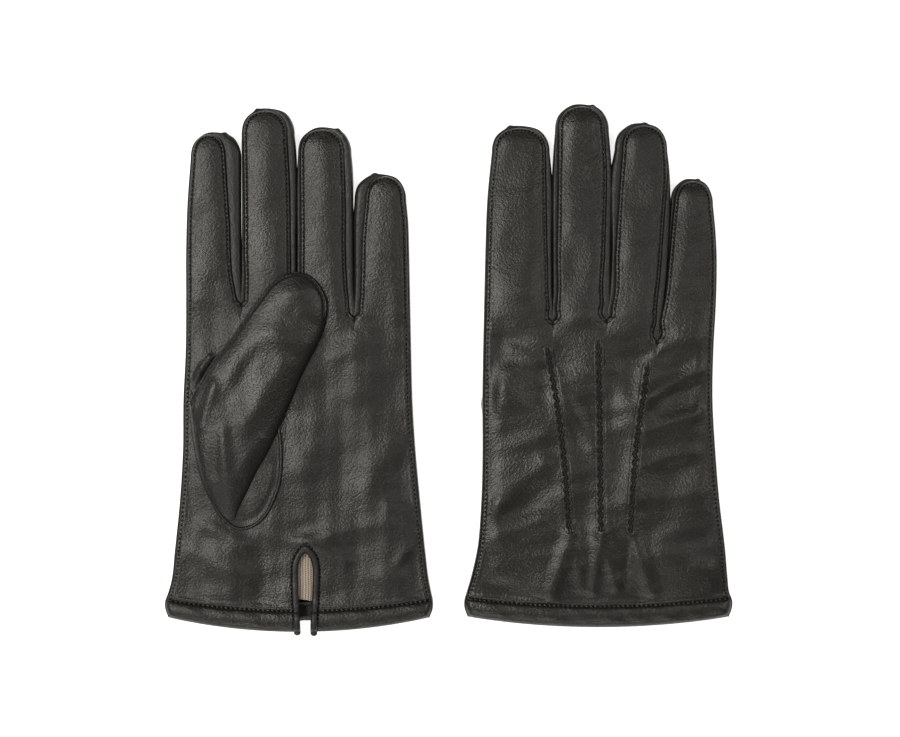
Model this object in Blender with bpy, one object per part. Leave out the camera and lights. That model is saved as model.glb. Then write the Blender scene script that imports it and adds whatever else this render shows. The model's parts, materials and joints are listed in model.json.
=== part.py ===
"""A pair of knit-lined leather dress gloves, lying side by side with their fingers towards +Y.

The left-hand glove lies palm up with its thumb folded over the palm. The right-hand glove lies back up with
its thumb tucked under the palm, so it is draped over the thumb and down to the table. Each glove is made
lying flat at its own origin, the middle of its hem: x runs across from the index finger's side, y from the
hem to the fingertips, and z up from the table, all in millimetres until a mesh is made.
"""
import math

import bmesh
import bpy
import numpy as np
from mathutils import Matrix

MM = 0.001

# the pair
GLOVE_SPACING = 142.8            # between the gloves' middle lines
RIGHT_GLOVE_FORWARD = 2.3        # how much nearer its fingertips' side the right glove lies
TABLE_TO_LEFT_GLOVE = 1.3        # the left glove lies on the raised points of its back

# thicknesses
HALF_THICK = 5.4                 # half a glove lying flat
LEATHER = 0.8
LINING_INSET = 1.2               # from the leather's outer face to the lining's
LINING = 0.9
HEM_FOLD = 1.9                   # the leather turned in on itself at the wrist
SEAM_EDGE = 0.15                 # half the gap between two leathers at a seam
FOURCHETTE_EDGE = 2.6            # where palm and back leathers stop for a fourchette
FOURCHETTE_HALF = 2.3            # half a fourchette's width
LINING_EDGE = 0.6
JOINT_GAP = 0.2                  # each side of a finger joint

# the hand's outline
HEM_HALF_WIDTH = 64.0
HEM_RISE = 7.5                   # how much higher the hem is at the sides
HEM_DEPTH = 9.5
HEM_STEP = 0.5
SIDE_LEVELS = (0.0, 15.0, 38.0, 62.0, 86.0, 112.0, 158.0)
SIDE_SHARES = (1.0, 0.977, 0.927, 0.89, 0.867, 0.855, 0.844)
WRIST_LEVEL = 38.0
BASE_LEVEL = 140.0               # the level that the fingers' base widths are taken at
CROTCH_SLOPE = 5.0
TIP_LENGTH = 13.0
TIP_POWER = 2.3
TIP_SHARES = (0.45, 0.75, 0.93, 1.0)    # a fingertip's rows
EDGE_OFFSETS = (0.0, 1.2, 4.5)   # from a finger's side in to its flat
EDGE_HEIGHTS = (0.0, 0.68, 1.0)
LOW_LEVELS = (WRIST_LEVEL, 75.0, 112.0)

FINGER_NAMES = ("index", "middle", "ring", "little")
HINGE_LEVELS = (177.0, 181.0, 177.0, 168.0)
GLOVES = {
    "left": {
        "base": ((-54.0, -28.4), (-26.8, -2.6), (-0.8, 24.6), (26.6, 54.0)),
        "end": ((-52.4, -28.4), (-26.8, -2.2), (0.6, 24.6), (29.4, 51.6)),
        "tips": (238.5, 249.9, 240.9, 218.5),
        "crotches": (156.0, 152.0, 150.0),
    },
    "right": {
        "base": ((-54.0, -23.4), (-21.6, 4.4), (6.2, 27.5), (29.4, 54.0)),
        "end": ((-52.6, -23.6), (-20.6, 5.2), (8.4, 33.2), (35.2, 55.9)),
        "tips": (239.4, 249.7, 240.6, 214.0),
        "crotches": (146.0, 146.5, 137.0),
    },
}
FACES = {"left": {"palm": 1, "back": -1}, "right": {"palm": -1, "back": 1}}

# the right glove's drape over its thumb: the height of its lower face
DRAPE_HEM = 1.2
DRAPE_TOP = 6.5
DRAPE_FALL = 158.0

# the thumb: its level along the palm, its sides and its share of the full thickness
THUMB_SECTIONS = (
    (49.0, -28.0, -28.0, 0.0),
    (56.0, -38.0, -17.0, 0.7),
    (70.0, -45.0, -11.0, 0.95),
    (98.0, -50.0, -7.0, 1.0),
    (121.0, -45.5, 0.5, 1.0),
    (140.0, -32.5, 10.4, 1.0),
    (155.0, -21.5, 13.4, 0.85),
    (166.0, -12.5, 9.0, 0.5),
    (171.4, -0.8, -0.8, 0.0),
)
THUMB_MOUTH_ROWS = (1, 2, 3)
THUMB_HALF_THICK = {"left": 4.5, "right": 3.0}
THUMB_GAP = 0.4
THUMB_PIVOT = (-31.6, 65.2)

# the slit at the palm side of the wrist, and its binding
VENT_X = 3.3
VENT_HALF_WIDTH = 3.3
VENT_STRAIGHT = 35.3
BINDING = 0.9
BINDING_LIP = 3.4
BINDING_TAIL = 1.0
CLEARANCE = 0.3
VENT_ARC_STEPS = 6

# the raised points: their fingers' end, a middle and their wrist end
POINTS = {
    "index": ((-24.0, 131.0), (-17.6, 90.0), (-14.0, 47.0)),
    "middle": ((-0.2, 134.0), (0.6, 90.0), (0.7, 48.0)),
    "ring": ((23.1, 124.0), (17.8, 88.0), (15.0, 47.0)),
}
POINT_STEPS = 6
POINT_HEIGHT = 1.0
POINT_HALF_WIDTHS = (1.1, 0.7)

LEATHER_COLOUR = (0.036, 0.033, 0.029, 1.0)
PIPING_COLOUR = (0.028, 0.026, 0.023, 1.0)
KNIT_COLOUR = (0.42, 0.35, 0.29, 1.0)
LEATHER_ROUGHNESS = 0.48
KNIT_ROUGHNESS = 0.9

LINES = 2 * len(EDGE_OFFSETS)    # a finger's lines from side to side
WEB_SEGMENTS = [LINES * i - 1 for i in range(1, 4)]


def clear_scene():
    for obj in list(bpy.data.objects):
        bpy.data.objects.remove(obj, do_unlink=True)


def lower_face(side, y, fall_end):
    """Height of a glove's lower face over the table at level y, for a finger that lies flat from fall_end."""
    if side == "left":
        return np.full_like(np.asarray(y, float), TABLE_TO_LEFT_GLOVE)
    levels = (0.0, WRIST_LEVEL, DRAPE_FALL, fall_end)
    return np.interp(y, levels, (DRAPE_HEM, DRAPE_TOP, DRAPE_TOP, 0.0))


def finger_edges(side, finger, y):
    """A finger's two sides at level y: straight lines from its base to where its tip begins."""
    share = (y - BASE_LEVEL) / (GLOVES[side]["tips"][finger] - TIP_LENGTH - BASE_LEVEL)
    base, end = GLOVES[side]["base"][finger], GLOVES[side]["end"][finger]
    return [b + (e - b) * share for b, e in zip(base, end)]


def across(left, right, inset):
    """The lines across a finger between two sides, all drawn in by inset at the sides."""
    rounding = EDGE_OFFSETS[-1]
    steps = [inset + offset * (rounding - inset) / rounding for offset in EDGE_OFFSETS]
    return [left + step for step in steps] + [right - step for step in reversed(steps)]


def hand_plan(side, inset, low_levels):
    """x and y of the hand's points: rows from the hem to the finger joints, lines across all four fingers."""
    glove = GLOVES[side]
    base = np.concatenate([across(*finger_edges(side, f, BASE_LEVEL), inset) for f in range(4)])
    webs = [(glove["base"][i][1] + glove["base"][i + 1][0]) / 2 for i in range(3)]
    xs, ys = [], []
    for level in low_levels:
        half = HEM_HALF_WIDTH * np.interp(level, SIDE_LEVELS, SIDE_SHARES)
        x = base * half / glove["base"][3][1]
        fade = 1 - min(level / WRIST_LEVEL, 1)
        xs.append(x)
        ys.append(level + HEM_RISE * fade * (x / HEM_HALF_WIDTH) ** 2)
    crotch = np.interp(base, webs, glove["crotches"])
    xs += [base, base]
    ys.append(crotch - CROTCH_SLOPE)
    ys.append(crotch.copy())
    for segment in WEB_SEGMENTS:
        ys[-1][segment:segment + 2] -= inset
    for share in (0.5, 1.0):
        x, y = [], []
        for f in range(4):
            low = crotch[LINES * f:LINES * (f + 1)]
            level = low + (HINGE_LEVELS[f] - JOINT_GAP - low) * share
            x.append(across(*finger_edges(side, f, level.mean()), inset))
            y.append(level)
        xs.append(np.concatenate(x))
        ys.append(np.concatenate(y))
    return np.array(xs), np.array(ys)


def hand_middle(side, y):
    """Height of the hand's middle surface: half its thickness above its lower face."""
    ends = [tip - TIP_LENGTH for tip in GLOVES[side]["tips"]]
    middle = [lower_face(side, y[:, LINES * f:LINES * (f + 1)], ends[f]) for f in range(4)]
    return np.concatenate(middle, axis=1) + HALF_THICK


def hand_heights(rows, half, outer_edge):
    """Half thickness of the hand, point by point: rounded to its sides and, past the crotch, to fingers."""
    heights = np.full((rows, 4 * LINES), half)
    rounding = np.array(EDGE_HEIGHTS)
    heights[:, :3] = outer_edge + (half - outer_edge) * rounding
    heights[:, -3:] = outer_edge + (half - outer_edge) * rounding[::-1]
    notch = FOURCHETTE_EDGE + (half - FOURCHETTE_EDGE) * rounding
    for segment in WEB_SEGMENTS:
        heights[-3:, segment - 2:segment + 1] = notch[::-1]
        heights[-3:, segment + 1:segment + 4] = notch
    return heights


def hand_surface(side, face, inset, low_levels, outer_edge, thin=None):
    """The points of one face of the hand as an array of rows and lines."""
    x, y = hand_plan(side, inset, low_levels)
    heights = hand_heights(len(x), HALF_THICK - inset, outer_edge)
    if thin is not None:
        heights[:len(thin)] = np.maximum(heights[:len(thin)] - np.array(thin)[:, None], outer_edge)
    z = hand_middle(side, y) + face * heights
    return np.stack([x, y, z], axis=-1)


def hand_faces(rows):
    """Quads between rows and lines, without the gaps between fingers past the crotch row."""
    quads = []
    width = 4 * LINES
    for row in range(rows - 1):
        for line in range(width - 1):
            if row >= rows - 3 and line in WEB_SEGMENTS:
                continue
            start = row * width + line
            quads.append((start, start + 1, start + width + 1, start + width))
    return quads


def tapered(side, finger, face, inset, outer_edge, lined):
    """One face of a finger past its joint: rows of lines, the last row drawn together in the tip."""
    glove = GLOVES[side]
    flat_end = glove["tips"][finger] - TIP_LENGTH
    start = HINGE_LEVELS[finger] + JOINT_GAP
    shares = (0.0, 0.0, 0.0, *TIP_SHARES)
    levels = [start, (start + flat_end) / 2, flat_end]
    levels += [flat_end + share * (TIP_LENGTH - inset) for share in TIP_SHARES]
    seam = LINING_EDGE if lined else SEAM_EDGE
    notch_edges = (FOURCHETTE_EDGE,) * 4 + (LINING_EDGE, seam, seam)
    rows = []
    for level, share, notch in zip(levels, shares, notch_edges):
        left, right = finger_edges(side, finger, min(level, flat_end))
        middle = (left + right) / 2
        narrowing = (1 - share ** TIP_POWER) ** (1 / TIP_POWER)
        x = middle + (np.array(across(left, right, inset)) - middle) * narrowing
        half = (HALF_THICK - inset) * math.sqrt(1 - share ** 3)
        edges = [notch, notch]
        if finger == 0:
            edges[0] = outer_edge
        if finger == 3:
            edges[1] = outer_edge
        rounding = np.array(EDGE_HEIGHTS)
        rise = [edges[0] + (max(half, edges[0]) - edges[0]) * rounding,
                edges[1] + (max(half, edges[1]) - edges[1]) * rounding[::-1]]
        z = lower_face(side, level, flat_end) + HALF_THICK + face * np.concatenate(rise)
        rows.append(np.stack([x, np.full(LINES, level), z], axis=-1))
    return np.array(rows)


def thumb_surface(side, face, inset, edge):
    """One face of the thumb: rows of lines between its two sides, drawn together at both ends."""
    half = THUMB_HALF_THICK[side]
    middle = half
    if side == "left":
        middle = TABLE_TO_LEFT_GLOVE + 2 * HALF_THICK + THUMB_GAP + half
    last = len(THUMB_SECTIONS) - 1
    rows = []
    for number, (level, left, right, share) in enumerate(THUMB_SECTIONS):
        if number in (0, last):
            x = np.full(LINES, left)
            level += inset if number == 0 else -inset
        else:
            x = np.array(across(left, right, inset))
        rounding = np.array(EDGE_HEIGHTS)
        rise = edge + (max((half - inset) * share, edge) - edge) * np.concatenate([rounding, rounding[::-1]])
        rows.append(np.stack([x, np.full(LINES, level), middle + face * rise], axis=-1))
    return np.array(rows)


def grid_faces(rows, lines, skipped=()):
    """Quads of a grid, except the (row, line) ones that are skipped."""
    quads = []
    for row in range(rows - 1):
        for line in range(lines - 1):
            if (row, line) not in skipped:
                start = row * lines + line
                quads.append((start, start + 1, start + lines + 1, start + lines))
    return quads


def mesh_object(name, points, faces, colour):
    """A mesh from points in millimetres, in triangles that are turned outwards."""
    mesh = bpy.data.meshes.new(name)
    bm = bmesh.new()
    verts = [bm.verts.new(p) for p in np.asarray(points).reshape(-1, 3) * MM]
    for face in faces:
        corners = [verts[i] for i in face]
        bm.faces.new(corners)
    bmesh.ops.delete(bm, geom=[v for v in bm.verts if not v.link_faces], context="VERTS")
    bmesh.ops.recalc_face_normals(bm, faces=bm.faces)
    bmesh.ops.triangulate(bm, faces=bm.faces)
    bm.to_mesh(mesh)
    bm.free()
    mesh.shade_smooth()
    mesh.set_sharp_from_angle(angle=math.radians(40))
    obj = bpy.data.objects.new(name, mesh)
    bpy.context.scene.collection.objects.link(obj)
    material = bpy.data.materials.new(name)
    material.use_nodes = True
    shader = material.node_tree.nodes["Principled BSDF"]
    shader.inputs["Base Color"].default_value = colour
    shader.inputs["Roughness"].default_value = KNIT_ROUGHNESS if colour == KNIT_COLOUR else LEATHER_ROUGHNESS
    shader.inputs["Metallic"].default_value = 0.0
    mesh.materials.append(material)
    return obj


def joined_at_tips(points, faces):
    """The faces with the points that lie in one place, as in a tip, taken as one point."""
    first = {}
    same = [first.setdefault(tuple(np.round(point, 4)), i) for i, point in enumerate(points)]
    joined = [tuple(dict.fromkeys(same[i] for i in face)) for face in faces]
    return [face for face in joined if len(face) > 2]


def walls_at_edges(faces, offset):
    """Quads that join every open edge of a surface to the same edge of its copy, offset points further on."""
    used = {}
    for face in faces:
        for a, b in zip(face, face[1:] + face[:1]):
            used[frozenset((a, b))] = used.get(frozenset((a, b)), []) + [(a, b)]
    open_edges = [ways[0] for ways in used.values() if len(ways) == 1]
    return [(b, a, a + offset, b + offset) for a, b in open_edges]


def skin(name, outer, inner, faces, colour):
    """A closed body between two surfaces that share one layout of faces."""
    outer, inner = np.reshape(outer, (-1, 3)), np.reshape(inner, (-1, 3))
    count = len(outer)
    faces = joined_at_tips(outer, faces)
    turned = [tuple(i + count for i in reversed(face)) for face in faces]
    walls = walls_at_edges(faces, count)
    return mesh_object(name, np.vstack([outer, inner]), faces + turned + walls, colour)


def sleeve_faces(faces, count, sides):
    """Two facing surfaces of one layout, joined along the given chains of points."""
    facing = [tuple(i + count for i in reversed(face)) for face in faces]
    joined = [(a, b, b + count, a + count) for chain in sides for a, b in zip(chain, chain[1:])]
    return faces + facing + joined


def swept(name, sections, colour):
    """A closed body through a row of sections with the same number of corners each."""
    sections = np.array(sections)
    count, corners = sections.shape[:2]
    faces = [tuple(range(corners)), tuple(reversed(range((count - 1) * corners, count * corners)))]
    for row in range(count - 1):
        for corner in range(corners):
            a, b = row * corners + corner, row * corners + (corner + 1) % corners
            faces.append((a, b, b + corners, a + corners))
    return mesh_object(name, sections, faces, colour)


def cutter(name, outline, low, high):
    """A prism on an outline, which only cuts."""
    obj = swept(name, [[(x, y, z) for x, y in outline] for z in (low, high)], LEATHER_COLOUR)
    obj.hide_render = True
    obj.display_type = "WIRE"
    return obj


def cut(obj, tool):
    modifier = obj.modifiers.new("cut", "BOOLEAN")
    modifier.operation = "DIFFERENCE"
    modifier.solver = "EXACT"
    modifier.object = tool


def vent_path(reach):
    """Points down one leg of the slit, round its top and down the other, reach outside its clear width."""
    radius = VENT_HALF_WIDTH + reach
    turn = [math.pi * i / VENT_ARC_STEPS for i in range(VENT_ARC_STEPS + 1)]
    arc = [(VENT_X + radius * math.cos(a), VENT_STRAIGHT + radius * math.sin(a)) for a in turn]
    foot = [(VENT_X + radius, HEM_DEPTH), (VENT_X + radius, -BINDING_TAIL)]
    other = [(VENT_X - radius, -BINDING_TAIL), (VENT_X - radius, HEM_DEPTH)]
    return foot[::-1] + arc + other[::-1]


def make_cutters(side):
    """The slit's outline and the mouth of the thumb, as prisms through the palm."""
    vent = vent_path(BINDING + CLEARANCE)
    below_hem = -2 * HEM_RISE
    vent[0], vent[-1] = (vent[0][0], below_hem), (vent[-1][0], below_hem)
    sections = [THUMB_SECTIONS[i] for i in THUMB_MOUTH_ROWS]
    rounding = EDGE_OFFSETS[1]
    mouth = [(left + rounding, y) for y, left, _, _ in sections]
    mouth += [(right - rounding, y) for y, _, right, _ in reversed(sections)]
    middle = TABLE_TO_LEFT_GLOVE + HALF_THICK if side == "left" else DRAPE_TOP + HALF_THICK
    far = 3 * HALF_THICK * FACES[side]["palm"]
    if side == "right":
        vent_middle = (DRAPE_HEM + DRAPE_TOP) / 2 + HALF_THICK
    else:
        vent_middle = middle
    spans = [sorted((m, m + far)) for m in (vent_middle, middle)]
    return (cutter(side + "_vent_cutter", vent, *spans[0]),
            cutter(side + "_thumb_cutter", mouth, *spans[1]))


def make_hand(side, tools):
    """The palm and back leathers, turned in at the hem, and the knit lining of the hand."""
    levels = (0.0, HEM_DEPTH, HEM_DEPTH + HEM_STEP, *LOW_LEVELS)
    fold = (HEM_FOLD - LEATHER, HEM_FOLD - LEATHER)
    made = []
    for word, face in FACES[side].items():
        outer = hand_surface(side, face, 0.0, levels, SEAM_EDGE)
        inner = hand_surface(side, face, LEATHER, levels, SEAM_EDGE, fold)
        made.append(skin(f"{side}_{word}_leather", outer, inner, hand_faces(len(outer)), LEATHER_COLOUR))
    lining_levels = (HEM_DEPTH + HEM_STEP + CLEARANCE, *LOW_LEVELS)
    shells = []
    for inset in (LINING_INSET, LINING_INSET + LINING):
        halves = [hand_surface(side, face, inset, lining_levels, LINING_EDGE) for face in (1, -1)]
        shells.append(np.vstack([half.reshape(-1, 3) for half in halves]))
    rows = len(lining_levels) + 4
    width = 4 * LINES
    count = rows * width
    sides = [[row * width + line for row in range(rows)] for line in (0, width - 1)]
    for segment in WEB_SEGMENTS:
        down = [row * width + segment for row in reversed(range(rows - 3, rows))]
        up = [row * width + segment + 1 for row in range(rows - 3, rows)]
        sides.append(down + up)
    lining = skin(side + "_hand_lining", *shells, sleeve_faces(hand_faces(rows), count, sides), KNIT_COLOUR)
    for tool in tools:
        cut(made[0], tool)
        cut(lining, tool)
    return made + [lining]


def make_forks(side):
    """The fourchettes between the fingers' bases: strips down one finger, round the crotch and up the next."""
    layers = [hand_plan(side, inset, LOW_LEVELS) for inset in (0.0, LEATHER)]
    middle = hand_middle(side, layers[0][1])
    made = []
    for number, segment in enumerate(WEB_SEGMENTS):
        route = [(row, segment) for row in (-1, -2, -3)] + [(row, segment + 1) for row in (-3, -2, -1)]
        sections = []
        for row, line in route:
            corners = [(x[row, line], y[row, line]) for x, y in layers]
            z = middle[row, line]
            low, high = z - FOURCHETTE_HALF, z + FOURCHETTE_HALF
            (xo, yo), (xi, yi) = corners
            sections.append([(xo, yo, low), (xi, yi, low), (xi, yi, high), (xo, yo, high)])
        name = f"{side}_{FINGER_NAMES[number]}_{FINGER_NAMES[number + 1]}_fork"
        made.append(swept(name, sections, PIPING_COLOUR))
    return made


def make_finger(side, finger):
    """A finger past its joint: palm and back leathers, its fourchettes and its lining."""
    name = f"{side}_{FINGER_NAMES[finger]}"
    made = []
    layers = {}
    for word, face in FACES[side].items():
        outer, inner = [tapered(side, finger, face, inset, SEAM_EDGE, False) for inset in (0.0, LEATHER)]
        made.append(skin(f"{name}_{word}", outer, inner, grid_faces(len(outer), LINES), LEATHER_COLOUR))
        layers[face] = (outer, inner)
    outer, inner = layers[1]
    edges = {"inner": 0, "outer": LINES - 1}
    if finger == 0:
        del edges["inner"]
    if finger == 3:
        del edges["outer"]
    flat_end = GLOVES[side]["tips"][finger] - TIP_LENGTH
    halves = (FOURCHETTE_HALF,) * 4 + (CLEARANCE,)
    for word, line in edges.items():
        sections = []
        for row, half in enumerate(halves):
            xo, yo, _ = outer[row, line]
            xi, yi, _ = inner[row, line]
            z = float(lower_face(side, yo, flat_end)) + HALF_THICK
            sections.append([(xo, yo, z - half), (xi, yi, z - half), (xi, yi, z + half), (xo, yo, z + half)])
        made.append(swept(f"{name}_{word}_fourchette", sections, PIPING_COLOUR))
    shells = []
    for inset in (LINING_INSET, LINING_INSET + LINING):
        halves = [tapered(side, finger, face, inset, LINING_EDGE, True) for face in (1, -1)]
        shells.append(np.vstack([half.reshape(-1, 3) for half in halves]))
    rows = len(outer)
    sides = [[row * LINES + line for row in range(rows)] for line in (0, LINES - 1)]
    faces = sleeve_faces(grid_faces(rows, LINES), rows * LINES, sides)
    made.append(skin(name + "_lining", *shells, faces, KNIT_COLOUR))
    return made


def make_thumb(side):
    """The thumb's leather and its lining, each open to the palm through the mouth at its base."""
    toward_palm = -FACES[side]["palm"]
    rows = len(THUMB_SECTIONS)
    mouth = {(row, line) for row in THUMB_MOUTH_ROWS[:-1] for line in range(1, LINES - 2)}
    whole, opened = grid_faces(rows, LINES), grid_faces(rows, LINES, mouth)
    first, second = (whole, opened) if toward_palm < 0 else (opened, whole)
    count = rows * LINES
    sides = [[row * LINES + line for row in range(rows)] for line in (0, LINES - 1)]
    faces = first + [tuple(i + count for i in reversed(face)) for face in second]
    faces += [(a, b, b + count, a + count) for chain in sides for a, b in zip(chain, chain[1:])]
    made = []
    parts = (("leather", 0.0, LEATHER, LEATHER_COLOUR), ("lining", LINING_INSET, LINING, KNIT_COLOUR))
    for word, start, thick, colour in parts:
        shells = []
        for inset in (start, start + thick):
            halves = [thumb_surface(side, face, inset, LINING_EDGE) for face in (1, -1)]
            shells.append(np.vstack([half.reshape(-1, 3) for half in halves]))
        made.append(skin(f"{side}_thumb_{word}", *shells, faces, colour))
    return made


def make_binding(side):
    """The strip folded over the slit's edge: a leg down the cut and a lip on the palm, round its arch."""
    face = FACES[side]["palm"]
    paths = [vent_path(reach) for reach in (0.0, BINDING, BINDING_LIP)]
    sections = []
    for clear, leg, lip in zip(*paths):
        outer = float(lower_face(side, clear[1], GLOVES[side]["tips"][1])) + HALF_THICK * (1 + face)
        inside = outer - face * (LINING_INSET + LINING)
        base, top = outer + face * CLEARANCE, outer + face * (CLEARANCE + BINDING)
        sections.append([(*clear, inside), (*clear, top), (*lip, top),
                         (*lip, base), (*leg, base), (*leg, inside)])
    return swept(side + "_vent_binding", sections, PIPING_COLOUR)


def make_points(side):
    """The three raised tucks sewn down the back, each a low ridge along a slightly bowed line."""
    face = FACES[side]["back"]
    made = []
    for word, (top, middle, low) in POINTS.items():
        sections = []
        for step in range(POINT_STEPS + 1):
            t = step / POINT_STEPS
            weights = ((1 - t) * (1 - 2 * t), 4 * t * (1 - t), t * (2 * t - 1))
            x, y = [sum(w * p[k] for w, p in zip(weights, (top, middle, low))) for k in (0, 1)]
            surface = float(lower_face(side, y, GLOVES[side]["tips"][1])) + HALF_THICK * (1 + face)
            base = surface + face * CLEARANCE
            crest = base + face * POINT_HEIGHT
            wide, narrow = POINT_HALF_WIDTHS
            sections.append([(x - wide, y, base), (x + wide, y, base),
                             (x + narrow, y, crest), (x - narrow, y, crest)])
        made.append(swept(f"{side}_{word}_point", sections, LEATHER_COLOUR))
    return made


def hang(objects, pivot, name, parent, offset):
    """Puts objects under an empty at pivot, which stands in the pair's own frame, in metres."""
    empty = bpy.data.objects.new(name, None)
    bpy.context.scene.collection.objects.link(empty)
    place = np.array(pivot) * MM + offset
    empty.location = place - (np.array(parent.location) if parent else 0)
    empty.parent = parent
    for obj in objects:
        obj.data.transform(Matrix.Translation([float(v) for v in offset - place]))
        obj.parent = empty
    return empty


def make_glove(side, offset):
    tools = make_cutters(side)
    hand = make_hand(side, tools) + make_forks(side) + [make_binding(side)] + make_points(side)
    root = hang([*hand, *tools], (0.0, 0.0, 0.0), side + "_glove", None, offset)
    for finger, name in enumerate(FINGER_NAMES):
        level = HINGE_LEVELS[finger]
        fall_end = GLOVES[side]["tips"][finger] - TIP_LENGTH
        palm = float(lower_face(side, level, fall_end)) + HALF_THICK * (1 + FACES[side]["palm"])
        left, right = finger_edges(side, finger, level)
        pivot = ((left + right) / 2, level, palm)
        hang(make_finger(side, finger), pivot, f"{side}_{name}_joint", root, offset)
    hang(make_thumb(side), (*THUMB_PIVOT, 0.0), side + "_thumb_joint", root, offset)


def main():
    clear_scene()
    length = RIGHT_GLOVE_FORWARD + GLOVES["right"]["tips"][1]
    middle = (length - BINDING_TAIL) / 2
    make_glove("left", np.array([-GLOVE_SPACING / 2, -middle, 0.0]) * MM)
    make_glove("right", np.array([GLOVE_SPACING / 2, RIGHT_GLOVE_FORWARD - middle, 0.0]) * MM)


main()
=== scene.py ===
import json
import math

import bpy
import numpy as np
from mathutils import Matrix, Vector


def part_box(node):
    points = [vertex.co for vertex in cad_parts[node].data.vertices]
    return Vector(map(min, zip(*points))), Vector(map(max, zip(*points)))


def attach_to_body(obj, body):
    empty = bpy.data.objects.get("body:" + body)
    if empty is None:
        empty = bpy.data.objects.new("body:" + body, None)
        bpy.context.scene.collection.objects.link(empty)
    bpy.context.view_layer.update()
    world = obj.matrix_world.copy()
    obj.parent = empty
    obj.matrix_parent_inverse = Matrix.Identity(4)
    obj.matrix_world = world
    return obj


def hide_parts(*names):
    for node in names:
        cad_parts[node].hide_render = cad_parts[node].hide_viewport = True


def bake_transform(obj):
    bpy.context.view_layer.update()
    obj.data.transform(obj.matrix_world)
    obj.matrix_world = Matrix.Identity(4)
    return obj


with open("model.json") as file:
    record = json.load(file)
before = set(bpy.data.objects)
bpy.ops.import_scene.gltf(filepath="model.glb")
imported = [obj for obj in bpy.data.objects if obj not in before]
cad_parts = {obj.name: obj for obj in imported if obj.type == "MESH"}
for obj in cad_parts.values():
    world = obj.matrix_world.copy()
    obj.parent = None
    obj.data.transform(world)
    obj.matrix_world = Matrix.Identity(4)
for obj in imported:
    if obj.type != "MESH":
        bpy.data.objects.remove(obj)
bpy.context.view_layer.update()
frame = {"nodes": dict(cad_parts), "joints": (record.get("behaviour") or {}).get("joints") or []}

# ---------------------------------------------------------------------------------------------------------
# The hand's leathers
# Palm and back are each one skin of soft sheepskin nappa, sewn together down both sides. At the wrist each is
# turned in over itself and stitched down 10 mm up, which makes a puffy hem.

# Levels run in millimetres from the middle of the hem to the fingertips, and x across from the index
# finger's side.
MM = 0.001
TIP = 13.0          # length of a fingertip's rounding
TIP_POWER = 2.3
TIP_BORDER = 1.2    # how far inside the tip the seam runs
SEAM_RISE = 3.3     # a seam's height over the middle of the glove
HAND_RISE = 5.4
FINGER_RISE = 6.0
HEM_DEPTH = 10.0

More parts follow.
